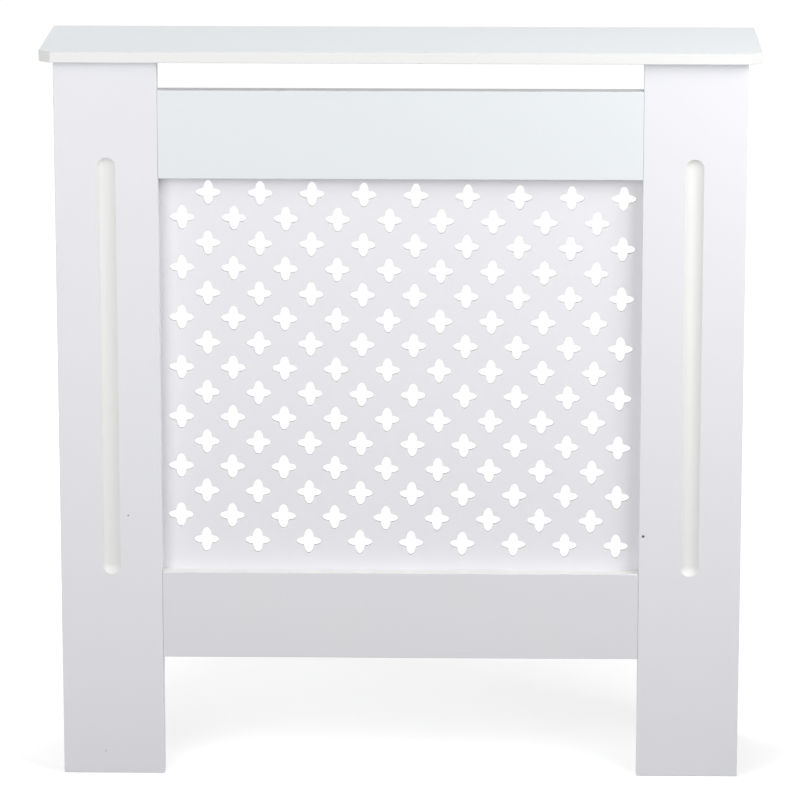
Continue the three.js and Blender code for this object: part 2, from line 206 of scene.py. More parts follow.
class Skin:
    """One closed mesh in the making. A corner of a face is its vertex, its normal and its share of wear.
    Faces can be marked as milled, or as raw board that the paint doesn't reach."""

    def __init__(self, place):
        self.place = place
        self.points = []
        self.faces = []
        self.milled = set()
        self.raw = set()

    def mark(self, marked, first):
        """Puts the faces made since the first one named among the milled or the raw ones."""
        marked.update(range(first, len(self.faces)))

    def ring(self, corners):
        """Adds a vertex for each (point, normal, wear), and returns the corners that faces are made of."""
        first = len(self.points)
        self.points.extend(point for point, _, _ in corners)
        return [(first + i, normal, wear) for i, (_, normal, wear) in enumerate(corners)]

    def bridge(self, upper, lower, left_open=()):
        """Joins two rings by quads. From above, outer rings run counter-clockwise and holes clockwise."""
        count = len(upper)
        for i in range(count):
            if i not in left_open:
                j = (i + 1) % count
                self.faces.append([lower[i], lower[j], upper[j], upper[i]])

    def patch(self, corners, loops):
        """Fills the first loop, less the others, with triangles that look where their normals point."""
        for triangle in tessellate_polygon(loops):
            picked = [corners[k] for k in triangle]
            a, b, c = (self.points[vertex] for vertex, _, _ in picked)
            facing = sum((normal for _, normal, _ in picked), Vector((0, 0, 0)))
            if (b - a).cross(c - a).dot(facing) < 0:
                picked.reverse()
            self.faces.append(picked)

    def fill(self, rings, normal):
        """Closes the flat face inside the first ring. The other rings are holes in it."""
        corners = [(vertex, normal, 0) for ring in rings for vertex, _, _ in ring]
        self.patch(corners, [[self.points[vertex] for vertex, _, _ in ring] for ring in rings])

    def flat_bridge(self, upper, lower):
        """Joins two rings by quads that are each shaded flat."""
        for i in range(len(upper)):
            j = (i + 1) % len(upper)
            quad = [corner[0] for corner in (lower[i], lower[j], upper[j], upper[i])]
            a, b, c = (self.points[vertex] for vertex in quad[:3])
            normal = (b - a).cross(c - b).normalized()
            self.faces.append([(vertex, normal, 0) for vertex in quad])

    def tunnel(self, centre, into, radius, depth):
        """The wall of a round hole. Returns the rings at its two ends."""
        outward = -into
        across = outward.orthogonal().normalized()
        spokes = clockwise_spokes(across, outward.cross(across), BORE_STEPS)
        near = self.ring([(centre + spoke * radius, -spoke, 0) for spoke in spokes])
        far = self.ring([(centre + into * depth + spoke * radius, -spoke, 0) for spoke in spokes])
        self.bridge(near, far)
        return near, far

    def bore(self, centre, into, radius, depth):
        """A round blind hole. Returns its rim, which is a hole in the face round it."""
        rim, floor = self.tunnel(centre, into, radius, depth)
        self.fill([floor], -into)
        return rim

    def cross_recess(self, level, reach, width, depth):
        """A driver's cross in a flat face, which narrows towards its floor. Returns its rim."""
        half = width / 2
        outline = []
        for quarter in range(4):
            turn = Matrix.Rotation(quarter * math.pi / 2, 2)
            outline += [turn @ Vector(point) for point in ((reach, -half), (reach, half), (half, half))]
        outline.reverse()
        rim = self.ring([(Vector((*point, level)), Z, 0) for point in outline])
        floor = self.ring([(Vector((*(point * RECESS_TAPER), level - depth)), Z, 0) for point in outline])
        self.flat_bridge(rim, floor)
        floor.reverse()
        for end in range(2, len(floor), 3):
            self.faces.append([floor[end - 3], floor[end - 2], floor[end - 1], floor[end]])
        self.faces.append(floor[2::3])
        return rim

    def turned(self, profile, steps):
        """A turned form round the local Z axis, from its (radius, level) profile, downwards. Returns the
        rings at its two ends."""
        spokes = list(reversed(clockwise_spokes(X, Y, steps)))
        rings = [
            self.ring([(spoke * radius + Z * level, Z, 0) for spoke in spokes])
            for radius, level in profile
        ]
        slopes = []
        for (radius, level), (next_radius, next_level) in zip(profile, profile[1:]):
            slopes.append(Vector((level - next_level, next_radius - radius)).normalized())
        for k, slope in enumerate(slopes):
            ends = []
            for neighbour in (slopes[max(k - 1, 0)], slopes[min(k + 1, len(slopes) - 1)]):
                soft = slope.angle(neighbour) < SHARP_TURN
                ends.append((slope + neighbour).normalized() if soft else slope)
            upper, lower = (
                [(vertex, spoke * end.x + Z * end.y, 0) for (vertex, _, _), spoke in zip(ring, spokes)]
                for ring, end in zip(rings[k:k + 2], ends)
            )
            self.bridge(upper, lower)
        return rings[0], rings[-1]

    def pierced_wall(self, centre, way, radius, depth, facing, hole_radius, hole_depth):
        """The wall of a drum, or with facing -1 of a bore, which runs down from its centre and is pierced by
        a round hole along the way given. Returns the upper, the lower and the pierced ring, the last with
        the normals of the hole's own wall."""
        side = Z.cross(way)

        def spoke(angle):
            return -way * math.cos(angle) - side * math.sin(angle) * facing

        turns = [math.tau * step / CAM_STEPS for step in range(CAM_STEPS)]
        spokes = [spoke(turn) for turn in turns]
        upper, lower = (
            self.ring([(centre - Z * down + ray * radius, ray * facing, 0) for ray in spokes])
            for down in (0, depth)
        )
        across = clockwise_spokes(side, Z, BORE_STEPS)
        points = []
        flat_hole = []
        for spread in across:
            swing = math.asin(spread.dot(side) * hole_radius / radius)
            level = spread.z * hole_radius - hole_depth
            radial = way * math.cos(swing) + side * math.sin(swing)
            points.append((centre + Z * level + radial * radius, radial * facing, 0))
            flat_hole.append(Vector((radius * (math.pi + facing * swing), level, 0)))
        pierced = self.ring(points)
        # The hole lies in the middle quarter of the wall, which is filled round it.
        first = CAM_STEPS // 2 - CAM_STEPS // 8
        last = CAM_STEPS // 2 + CAM_STEPS // 8
        self.bridge(upper, lower, range(first, last))
        near_turns = turns[first:last + 1]
        span = turns[last] - math.pi

        def drawn_in(turn):
            return UNROLLED_SLACK * (1 - ((turn - math.pi) / span) ** 2)

        flat_wall = [Vector((radius * turn, -drawn_in(turn), 0)) for turn in near_turns]
        flat_wall += [Vector((radius * turn, drawn_in(turn) - depth, 0)) for turn in reversed(near_turns)]
        near = [*upper[first:last + 1], *reversed(lower[first:last + 1])]
        self.patch([*near, *pierced], [flat_wall, flat_hole])
        return upper, lower, [(vertex, -spread, 0) for (vertex, _, _), spread in zip(pierced, across)]

    def build(self, name, finish, slot, *nodes):
        """Makes the object, which stands for the CAD nodes named."""
        mesh = bpy.data.meshes.new(name)
        faces = [[vertex for vertex, _, _ in face] for face in self.faces]
        mesh.from_pydata([self.place @ point for point in self.points], [], faces)
        mesh.shade_smooth()
        turn = self.place.to_3x3()
        corners = [corner for face in self.faces for corner in face]
        mesh.normals_split_custom_set([turn @ normal for _, normal, _ in corners])
        wear = mesh.attributes.new("wear", "FLOAT", "CORNER")
        wear.data.foreach_set("value", [share for _, _, share in corners])
        for kind, marked in (("milled", self.milled), ("raw", self.raw)):
            mark = mesh.attributes.new(kind, "FLOAT", "FACE")
            mark.data.foreach_set("value", [float(face in marked) for face in range(len(faces))])
        mesh.materials.append(finish)
        piece = bpy.data.objects.new(name, mesh)
        bpy.context.scene.collection.objects.link(piece)
        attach(piece, "root")
        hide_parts(*nodes)
        return piece


def clockwise_spokes(across, up, steps):
    """Unit vectors round a circle, clockwise as seen from where across turns counter-clockwise to up."""
    angles = [-math.tau * step / steps for step in range(steps)]
    return [across * math.cos(angle) + up * math.sin(angle) for angle in angles]


def rounded(corners, radii):
    """An outline, counter-clockwise, as (point, outward normal) pairs, with its corners rounded."""
    outline = []
    for i, (corner, radius) in enumerate(zip(corners, radii)):
        before = (corner - corners[i - 1]).normalized()
        after = (corners[(i + 1) % len(corners)] - corner).normalized()
        start = Vector((before.y, -before.x))
        end = Vector((after.y, -after.x))
        turn = math.atan2(start.cross(end), start.dot(end))
        bulge = math.copysign(radius, turn)
        centre = corner - (start + end) * bulge / (1 + start.dot(end))
        for step in range(CORNER_STEPS + 1):
            normal = Matrix.Rotation(turn * step / CORNER_STEPS, 2) @ start
            outline.append((centre + normal * bulge, normal))
    return outline


def softened(corners):
    """The outline of a board, with each corner rounded a little."""
    return rounded(corners, [BOARD_CORNER] * len(corners))


def rectangle(left, bottom, right, top):
    return [Vector((left, bottom)), Vector((right, bottom)), Vector((right, top)), Vector((left, top))]


def edge_rings(skin, outline, thickness, arris):
    """The rings of an edge from the front face to the back, with both arrises rounded."""
    quarter = [math.pi / 2 * step / ARRIS_STEPS for step in range(ARRIS_STEPS + 1)]
    levels = [(angle, thickness - arris * (1 - math.cos(angle)), math.cos(angle)) for angle in quarter]
    levels += [(angle, arris * (1 - math.cos(angle)), -math.cos(angle)) for angle in reversed(quarter)]
    rings = []
    for angle, level, front_share in levels:
        inset = arris * (1 - math.sin(angle))
        corners = []
        for point, normal in outline:
            place = point - normal * inset
            leaning = Vector((normal.x * math.sin(angle), normal.y * math.sin(angle), front_share))
            rubbed = math.sin(2 * angle)
            corners.append((Vector((place.x, place.y, level)), leaning, rubbed))
        rings.append(skin.ring(corners))
    return rings


def extrude(skin, outline, thickness, arris, bored=(), holes=(), rims=(), raw_ends=False):
    """A board of that outline. Bored are (centre, outward, rim) of round holes already made in any face;
    holes are outlines that go through; rims are the rings of hollows already made in the front face. Raw
    ends show as a hairline in the joints at the left and right."""

    def bored_in(point, normal):
        return [
            rim
            for centre, outward, rim in bored
            if outward.dot(normal) > ALIGNED and abs((centre - point).dot(normal)) < BORE_CLEARANCE
        ]

    rings = edge_rings(skin, outline, thickness, arris)
    wall = ARRIS_STEPS
    for level, (upper, lower) in enumerate(zip(rings, rings[1:])):
        filled = []
        first = len(skin.faces)
        if level == wall:
            for i in range(len(outline)):
                j = (i + 1) % len(outline)
                normal = Vector((*outline[i][1], 0))
                here = bored_in(skin.points[upper[i][0]], normal)
                straight = outline[i][1].dot(outline[j][1]) > ALIGNED
                if here and straight:
                    skin.fill([[lower[i], lower[j], upper[j], upper[i]], *here], normal)
                    filled.append(i)
        skin.bridge(upper, lower, filled)
        if level == wall:
            skin.mark(skin.milled, first)
        elif level == wall - 1 and raw_ends:
            at_ends = [i for i, (_, normal) in enumerate(outline) if abs(normal.x) > ALIGNED]
            skin.raw.update(first + i for i in at_ends)
    front_holes = list(rims)
    back_holes = []
    for hole in holes:
        hole_rings = edge_rings(skin, hole, thickness, arris)
        for level, (upper, lower) in enumerate(zip(hole_rings, hole_rings[1:])):
            first = len(skin.faces)
            skin.bridge(upper, lower)
            if level == wall:
                skin.mark(skin.raw, first)
        front_holes.append(hole_rings[0])
        back_holes.append(hole_rings[-1])
    skin.fill([rings[0], *front_holes, *bored_in(Vector((0, 0, thickness)), Z)], Z)
    skin.fill([rings[-1], *back_holes, *bored_in(Vector((0, 0, 0)), -Z)], -Z)


# ---------------------------------------------------------------- hardware in the boards

def middle_of(node):
    low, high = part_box(node)
    return (low + high) / 2


def longest_axis(node):
    low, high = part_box(node)
    lengths = high - low
    return max(range(3), key=lambda k: lengths[k])


def pins_in(board):
    """The dowels, bolts and screws whose boxes run into the board's."""
    low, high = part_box(board)
    found = []
    for node in sorted(frame["nodes"]):
        kind = next((word for word in BORE_DIAMETERS if word in node), None)
        pin_low, pin_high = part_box(node)
        meets = all(pin_low[k] < high[k] and low[k] < pin_high[k] for k in range(3))
        if kind and meets:
            found.append((node, kind))
    return found


def bores_of(skin, board):
    """Makes the blind bores of a board for its hardware. Returns them as (centre, outward, rim)."""
    return [
        (centre, -into, skin.bore(centre, into, BORE_DIAMETERS[kind] / 2, depth))
        for centre, into, depth, kind in pin_bores(skin.place, board)
    ]


def pin_bores(place, board):
    """The centre, direction and depth of each pin's bore in a board's local frame, with its kind."""
    low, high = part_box(board)
    to_local = place.inverted()
    bores = []
    for node, kind in pins_in(board):
        pin_low, pin_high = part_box(node)
        along = longest_axis(node)
        from_low = pin_low[along] < low[along]
        into = Vector([float(k == along) for k in range(3)]) * (1 if from_low else -1)
        centre = (pin_low + pin_high) / 2
        centre[along] = low[along] if from_low else high[along]
        depth = (pin_high[along] - low[along]) if from_low else (high[along] - pin_low[along])
        bores.append((to_local @ centre, to_local.to_3x3() @ into, depth + BORE_CLEARANCE, kind))
    return bores


# ---------------------------------------------------------------- finishes

class Finish:
    """A node material in the making."""

    def __init__(self, name):
        self.material = bpy.data.materials.new(name)
        self.material.use_nodes = True
        self.nodes = self.material.node_tree.nodes
        self.shader = self.nodes["Principled BSDF"]
        self.coordinates = self.nodes.new("ShaderNodeTexCoord").outputs["Object"]

    def add(self, kind, inputs, **settings):
        node = self.nodes.new(kind)
        for setting, value in settings.items():
            setattr(node, setting, value)
        self.feed(node, inputs)
        return node

    def feed(self, node, inputs):
        for socket, value in inputs.items():
            if isinstance(value, bpy.types.NodeSocket):
                self.material.node_tree.links.new(value, node.inputs[socket])
            else:
                node.inputs[socket].default_value = value

    def noise(self, scale, detail=2.0, stretch=(1, 1, 1)):
        mapping = self.add("ShaderNodeMapping", {"Vector": self.coordinates, "Scale": stretch})
        inputs = {"Vector": mapping.outputs["Vector"], "Scale": scale, "Detail": detail}
        return self.add("ShaderNodeTexNoise", inputs).outputs["Fac"]

    def between(self, value, low, high, start=0.25, end=0.75):
        """Maps the value from start..end, where most of a noise lies, to low..high."""
        inputs = {"Value": value, "From Min": start, "From Max": end, "To Min": low, "To Max": high}
        return self.add("ShaderNodeMapRange", inputs).outputs["Result"]

    def product(self, first, second):
        return self.add("ShaderNodeMath", {0: first, 1: second}, operation="MULTIPLY").outputs[0]

    def blend(self, share, first, second):
        """Mixes two colours. The colour sockets of the node are its inputs 6 and 7 and its output 2."""
        inputs = {0: share, 6: first, 7: second}
        return self.add("ShaderNodeMix", inputs, data_type="RGBA").outputs[2]

    def attribute(self, name):
        return self.add("ShaderNodeAttribute", {}, attribute_name=name).outputs["Fac"]

    def bump(self, height, distance, below=None):
        inputs = {"Height": height, "Distance": distance}
        if below is not None:
            inputs["Normal"] = below
        return self.add("ShaderNodeBump", inputs).outputs["Normal"]


SLOT_COLOURS = {entry["slot"]: entry["base_color"] for entry in frame["record"]["materials"]}


def tinted(colour, shares):
    """A colour with its red, green and blue each made lighter or darker by a share."""
    return (*(channel * share for channel, share in zip(colour, shares)), 1.0)


def shaded(colour, share):
    """A colour made lighter or darker as a whole."""
    return tinted(colour, (share, share, share))


def specked(finish, tone):
    """The tone with a few tiny dark nibs in the paint, where the photographed cabinet has them."""
    for place, radius in PAINT_NIBS:
        inputs = {0: finish.coordinates, 1: place}
        distance = finish.add("ShaderNodeVectorMath", inputs, operation="DISTANCE").outputs["Value"]
        tone = finish.blend(finish.between(distance, 1.0, 0.0, radius / 2, radius), tone, NIB_COLOUR)
    return tone


def white_paint(name, tint):
    """Satin paint: a faint roller stipple, slow changes of tone, and arrises rubbed a little. It is creamier
    in the milled flutes and on the edges, and a little lighter there as a painted highlight, and leaves the
    walls of the punched crosses raw and matt."""
    colour = tinted(SLOT_COLOURS["white_paint"], tint)
    milled = tinted(SLOT_COLOURS["white_paint"], MILLED_TINT_AND_HIGHLIGHT)
    cloudy = shaded(tinted(colour, CREAMY_SHARES), CLOUD_SHARE)
    finish = Finish(name)
    clouds = finish.between(finish.noise(CLOUD_SCALE), 0.0, CLOUD_COVER)
    mottle = finish.between(finish.noise(MOTTLE_SCALE), 0.0, MOTTLE_COVER)
    patches = finish.between(finish.noise(RUBBING_SCALE, detail=4), 0.0, RUBBING_COVER, *RUBBING_BAND)
    raw = finish.attribute("raw")
    tone = finish.blend(clouds, colour, cloudy)
    tone = finish.blend(mottle, tone, shaded(colour, MOTTLE_SHARE))
    tone = finish.blend(finish.attribute("milled"), tone, milled)
    tone = finish.blend(finish.product(finish.attribute("wear"), patches), tone, RUBBED_PAINT)
    tone = finish.blend(raw, tone, RAW_FIBREBOARD)
    stipple = finish.bump(finish.noise(STIPPLE_SCALE, detail=3), STIPPLE_HEIGHT)
    finish.feed(
        finish.shader,
        {
            "Base Color": specked(finish, tone),
            "Roughness": finish.between(finish.noise(SHEEN_SCALE, detail=3), *PAINT_ROUGHNESS),
            "Specular IOR Level": finish.between(raw, PAINT_SPECULAR, 0.0, 0.0, 1.0),
            "Normal": finish.bump(finish.noise(WAVE_SCALE), WAVE_HEIGHT, stipple),
        },
    )
    return finish.material


def zinc_steel():
    """Bright zinc plating with a cloudy, slightly yellow bloom."""
    colour = SLOT_COLOURS["zinc_steel"]
    finish = Finish("zinc_steel")
    cloud = finish.between(finish.noise(BLOOM_SCALE, detail=4), 0.0, 1.0)
    tone = finish.blend(cloud, shaded(colour, DULL_SHARE), tinted(colour, BLOOM_SHARES))
    finish.feed(
        finish.shader,
        {
            "Base Color": tone,
            "Metallic": 1.0,
            "Roughness": finish.between(finish.noise(PLATING_SCALE, detail=3), *PLATING_ROUGHNESS),
            "Normal": finish.bump(finish.noise(DRAWING_SCALE), DRAWING_HEIGHT),
        },
    )
    return finish.material


def beech(name, grain):
    """Bare beech, with its grain stretched along one axis and short dark flecks."""
    colour = SLOT_COLOURS["beech_dowel"]
    finish = Finish(name)
    streaks = finish.between(finish.noise(STREAK_SCALE, detail=4, stretch=grain), 0.0, 1.0)
    flecks = finish.between(finish.noise(FLECK_SCALE, stretch=grain), 0.0, FLECK_COVER, *FLECK_BAND)
    tone = finish.blend(streaks, shaded(colour, DARK_STREAK_SHARE), shaded(colour, PALE_STREAK_SHARE))
    finish.feed(
        finish.shader,
        {
            "Base Color": finish.blend(flecks, tone, shaded(colour, FLECK_SHARE)),
            "Roughness": finish.between(streaks, *BEECH_ROUGHNESS),
            "Normal": finish.bump(streaks, STREAK_HEIGHT),
        },
    )
    return finish.material


# Each board was sprayed by itself, so its tint departs a little from the slot's.
STILE_PAINT = white_paint("white_paint", (1.0, 1.0, 1.02))
COOL_PAINT = white_paint("white_paint_cool", (0.962, 1.0, 1.0))
# The bottom rail's paint is darker too: painted shade, for the light that falls off towards the bottom.
SHADED_RAIL_PAINT = white_paint("white_paint_rail_shaded", (0.955, 0.95, 0.965))
PUNCHED_PAINT = white_paint("white_paint_punched", (1.025, 1.015, 1.035))
ZINC = zinc_steel()
BEECH = [
    beech(f"beech_{axis}", [GRAIN_LENGTHWISE if k == along else 1 for k in range(3)])
    for along, axis in enumerate("xyz")
]


def refinish(node, finish):
    """Gives a CAD node that stays its finish."""
    slots = frame["nodes"][node].material_slots
    for material_slot in slots:
        material_slot.material = finish


# ---------------------------------------------------------------- boards

def facing_front(node):
    """Local frame of a board that faces the front, from the plane of its back."""
    _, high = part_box(node)
    return placed(Vector((0, high.y, 0)), X, Z)


def front_board(node, finish, rims_of=None):
    """A board of the face frame."""
    low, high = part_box(node)
    skin = Skin(facing_front(node))
    rims = [] if rims_of is None else [rims_of(skin, low, high)]
    outline = softened(rectangle(low.x, low.z, high.x, high.z))
    joined = node.endswith("rail")
    extrude(skin, outline, high.y - low.y, BOARD_ARRIS, bores_of(skin, node), rims=rims, raw_ends=joined)
    skin.build(f"painted_{node}", finish, "white_paint", node)


OPENING_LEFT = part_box("left_stile")[1].x
OPENING_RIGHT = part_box("right_stile")[0].x
OPENING_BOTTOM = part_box("bottom_rail")[1].z
OPENING_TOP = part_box("top_rail")[0].z


def flute_profile():
    """Half the section of a flute from its rim down, as (half width, depth, outward share, front share).
    The groove is an arc, and the rim is rounded into the face."""
    radius = (FLUTE_WIDTH**2 / 4 + FLUTE_DEPTH**2) / (2 * FLUTE_DEPTH)
    lift = radius - FLUTE_DEPTH
    rim_middle = math.sqrt((radius + FLUTE_RIM) ** 2 - (lift + FLUTE_RIM) ** 2)
    meeting = math.asin(rim_middle / (radius + FLUTE_RIM))
    profile = []
    for step in range(FLUTE_RIM_STEPS):
        angle = meeting * step / FLUTE_RIM_STEPS
        half = rim_middle - FLUTE_RIM * math.sin(angle)
        depth = FLUTE_RIM * (1 - math.cos(angle))
        profile.append((half, depth, -math.sin(angle), math.cos(angle)))
    for step in range(FLUTE_STEPS):
        angle = meeting * (1 - step / FLUTE_STEPS)
        depth = radius * math.cos(angle) - lift
        profile.append((radius * math.sin(angle), depth, -math.sin(angle), math.cos(angle)))
    return profile


def flute(skin, low, high):
    """A flute down the middle of a stile. Returns its rim."""
    middle = (low.x + high.x) / 2
    thickness = high.y - low.y
    end_radius = FLUTE_WIDTH / 2
    upper_end = Vector((middle, OPENING_TOP + FLUTE_ABOVE_OPENING - end_radius, 0))
    lower_end = Vector((middle, OPENING_BOTTOM - FLUTE_BELOW_OPENING + end_radius, 0))
    rings = []
    for half, depth, outward, front in flute_profile():
        corners = []
        for end, start in ((upper_end, math.pi), (lower_end, 0)):
            for step in range(FLUTE_END_STEPS + 1):
                angle = start - math.pi * step / FLUTE_END_STEPS
                spoke = Vector((math.cos(angle), math.sin(angle), 0))
                point = end + spoke * half + Z * (thickness - depth)
                corners.append((point, spoke * outward + Z * front, 0))
        rings.append(skin.ring(corners))
    first = len(skin.faces)
    for upper, lower in zip(rings, rings[1:]):
        skin.bridge(upper, lower)
    skin.fill([rings[-1]], Z)
    skin.mark(skin.milled, first)
    return rings[0]


def cross_outline(centre):
    """One cross as a hole, clockwise, as (point, normal into the hole) pairs. Each arm ends in half an
    ellipse, and the corners between the arms are rounded."""
    level = (CROSS_WIDTH / 2, LEVEL_ARM_WIDTH / 2, UPRIGHT_ARM_WIDTH / 2)
    upright = (CROSS_HEIGHT / 2, UPRIGHT_ARM_WIDTH / 2, LEVEL_ARM_WIDTH / 2)
    outline = []
    for quarter in range(4):
        length, half, root = (level, upright)[quarter % 2]
        reach = length - root
        turn = Matrix.Rotation(quarter * math.pi / 2 + PATTERN_TURN, 2)
        last = math.acos(CROSS_CORNER / reach)
        for step in range(ARM_STEPS + 1):
            angle = last * (2 * step / ARM_STEPS - 1)
            point = Vector((root + reach * math.cos(angle), half * math.sin(angle)))
            normal = Vector((-half * math.cos(angle), -reach * math.sin(angle))).normalized()
            outline.append((centre + turn @ point, turn @ normal))
        corner = Vector((root + CROSS_CORNER, half + CROSS_CORNER))
        for step in range(1, CROSS_CORNER_STEPS):
            angle = math.pi / 2 * step / CROSS_CORNER_STEPS
            normal = Vector((-math.sin(angle), -math.cos(angle)))
            outline.append((centre + turn @ (corner + normal * CROSS_CORNER), turn @ normal))
    outline.reverse()
    return outline


def steps_within(opening, cross_size, step):
    """How many steps of the pattern fit between the margins of an opening."""
    return math.floor((opening - cross_size - 2 * PATTERN_MARGIN) / step)


def cross_centres():
    """The crosses stand on every second place of a grid, turned a little as a whole."""
    across = steps_within(OPENING_RIGHT - OPENING_LEFT, CROSS_WIDTH, COLUMN_STEP)
    down = steps_within(OPENING_TOP - OPENING_BOTTOM, CROSS_HEIGHT, ROW_STEP)
    middle = Vector((0, (OPENING_TOP + OPENING_BOTTOM) / 2 + PATTERN_LIFT))
    turn = Matrix.Rotation(PATTERN_TURN, 2)
    centres = []
    for row in range(down + 1):
        for column in range((row + 1) % 2, across + 1, 2):
            place = Vector(((column - across / 2) * COLUMN_STEP, (down / 2 - row) * ROW_STEP))
            centres.append(middle + turn @ place)
    return centres


def round_hole(centre, radius):
    """A round hole through a board, clockwise, as (point, normal into the hole) pairs."""
    outline = []
    for step in range(BORE_STEPS):
        angle = -math.tau * step / BORE_STEPS
        spoke = Vector((math.cos(angle), math.sin(angle)))
        outline.append((centre + spoke * radius, -spoke))
    return outline


def punched_board():
    """The thin board behind the frame, with its crosses and the holes of the screws at its edge."""
    node = "lattice_panel"
    low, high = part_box(node)
    holes = [cross_outline(centre) for centre in cross_centres()]
    for pin, kind in pins_in(node):
        pin_low, pin_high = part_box(pin)
        centre = (pin_low + pin_high) / 2
        holes.append(round_hole(Vector((centre.x, centre.z)), BORE_DIAMETERS[kind] / 2))
    skin = Skin(facing_front(node))
    outline = softened(rectangle(low.x, low.z, high.x, high.z))
    extrude(skin, outline, high.y - low.y, PUNCHED_ARRIS, holes=holes)
    skin.build(f"painted_{node}", PUNCHED_PAINT, "white_paint", node)


def top_board():
    """The shelf-like top, with its front corners clipped."""
    node = "top_panel"
    low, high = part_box(node)
    clip = TOP_CORNER_CLIP
    corners = [
        Vector((low.x, low.y + clip)),
        Vector((low.x + clip, low.y)),
        Vector((high.x - clip, low.y)),
        Vector((high.x, low.y + clip)),
        Vector((high.x, high.y)),
        Vector((low.x, high.y)),
    ]
    skin = Skin(placed(Vector((0, 0, low.z)), X, Y))
    extrude(skin, softened(corners), high.z - low.z, BOARD_ARRIS, bores_of(skin, node))
    skin.build(f"painted_{node}", COOL_PAINT, "white_paint", node)


def facing_inwards(node, origin):
    """Local frame of what looks into the cabinet from its left or right side."""
    low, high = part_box(node)
    return placed(origin, Y if low.x < 0 else -Y, Z)


def side_panel(side):
    """A side panel, with the bores of its cams in its inner face. A bolt's bore runs from an edge of the
    panel into the wall of its cam's bore."""
    node = f"{side}_side_panel"
    low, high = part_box(node)
    skin = Skin(facing_inwards(node, low if low.x < 0 else high))
    to_local = skin.place.inverted()
    corner = to_local @ (high if low.x < 0 else low)
    thickness = corner.z
    bored = []
    cams = [name for name in sorted(frame["nodes"]) if name.startswith(side) and name.endswith("cam")]
    for centre, into, depth, kind in pin_bores(skin.place, node):
        if kind == "bolt":
            cam = min(cams, key=lambda name: (to_local @ middle_of(name) - centre).length)
            cam_low, cam_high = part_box(cam)
            face = (to_local @ middle_of(cam)) * Vector((1, 1, 0)) + Z * thickness
            bored += bolt_way(skin, centre, into, face, cam_high.x - cam_low.x)
        else:
            bored.append((centre, -into, skin.bore(centre, into, BORE_DIAMETERS[kind] / 2, depth)))
    outline = softened(rectangle(0, min(corner.y, 0), corner.x, max(corner.y, 0)))
    extrude(skin, outline, thickness, BOARD_ARRIS, bored)
    skin.build(f"painted_{node}", STILE_PAINT, "white_paint", node)


# ---------------------------------------------------------------- hardware

def bolt_way(skin, centre, into, face, cam_depth):
    """The bore of a cam at that point of the face, and the bore that leads its bolt there from an edge."""
    way = -into
    radius = CAM_DIAMETER / 2 + BORE_CLEARANCE
    depth = cam_depth + BORE_CLEARANCE
    channel = BOLT_CHANNEL_DIAMETER / 2
    upper, lower, pierced = skin.pierced_wall(face, way, radius, depth, -1, channel, face.z - centre.z)
    skin.fill([lower], Z)
    rim = skin.ring([(centre - normal * channel, normal, 0) for _, normal, _ in pierced])
    skin.bridge(rim, pierced)
    return [(face, Z, upper), (centre, way, rim)]


def cam(node):
    """A cam: a drum with a driver's cross in its face and an open side for the head of its bolt."""
    low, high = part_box(node)
    middle = middle_of(node)
    skin = Skin(facing_inwards(node, Vector((high.x if high.x < 0 else low.x, middle.y, middle.z))))
    bolt = skin.place.inverted() @ middle_of(node.replace("cam", "bolt"))
    way = Vector((bolt.x, bolt.y, 0)).normalized()
    radius = CAM_DIAMETER / 2
    channel = BOLT_CHANNEL_DIAMETER / 2
    upper, lower, pierced = skin.pierced_wall(
        -Z * CAM_RIM, way, radius, high.x - low.x - CAM_RIM, 1, channel, -bolt.z - CAM_RIM
    )
    face = skin.ring([(normal * (radius - CAM_RIM), Z, 0) for _, normal, _ in upper])
    skin.bridge(face, upper)
    skin.fill([face, skin.cross_recess(0, CAM_RECESS_REACH, CAM_RECESS_WIDTH, CAM_RECESS_DEPTH)], Z)
    skin.fill([lower], -Z)
    end = Z * bolt.z - way * BORE_CLEARANCE
    floor = skin.ring([(end - normal * channel, normal, 0) for _, normal, _ in pierced])
    skin.bridge(pierced, floor)
    skin.fill([floor], way)
    skin.build(f"turned_{node}", ZINC, "zinc_steel", node)


def screw(node, place, length):
    """A pan-head screw with its seat at level 0 of the local frame and its head above."""
    head = SCREW_HEAD_DIAMETER / 2
    flat = SCREW_HEAD_FLAT / 2
    crest = SCREW_DIAMETER / 2
    core = SCREW_CORE_DIAMETER / 2
    shoulder = SCREW_HEAD_SHOULDER
    profile = []
    for step in range(SCREW_DOME_STEPS + 1):
        angle = math.pi / 2 * step / SCREW_DOME_STEPS
        level = shoulder + (SCREW_HEAD_HEIGHT - shoulder) * math.cos(angle)
        profile.append((flat + (head - flat) * math.sin(angle), level))
    profile += [(head, 0), (core, 0)]
    turns = math.floor((length - SCREW_TIP) / SCREW_PITCH)
    for turn in range(turns):
        start = -(turn + 1 / 4) * SCREW_PITCH
        profile += [(core, start), (crest, start - SCREW_PITCH / 4), (core, start - SCREW_PITCH / 2)]
    profile += [(core, SCREW_TIP - length), (SCREW_POINT, -length)]
    skin = Skin(place)
    top, point = skin.turned(profile, SCREW_STEPS)
    recess = skin.cross_recess(SCREW_HEAD_HEIGHT, SCREW_RECESS_REACH, SCREW_RECESS_WIDTH, SCREW_RECESS_DEPTH)
    skin.fill([top, recess], Z)
    skin.fill([point], -Z)
    skin.build(f"turned_{node}", ZINC, "zinc_steel", node)


def lattice_screw(node):
    """A screw driven forwards from behind the punched board."""
    low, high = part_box(node)
    middle = middle_of(node)
    seat = Vector((middle.x, high.y - SCREW_HEAD_HEIGHT, middle.z))
    screw(node, placed(seat, -X, Z), seat.y - low.y)


def bracket_screw(node):
    """A screw driven up through a bracket."""
    low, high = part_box(node)
    middle = middle_of(node)
    seat = Vector((middle.x, middle.y, low.z + SCREW_HEAD_HEIGHT))
    screw(node, placed(seat, Y, X), high.z - seat.z)


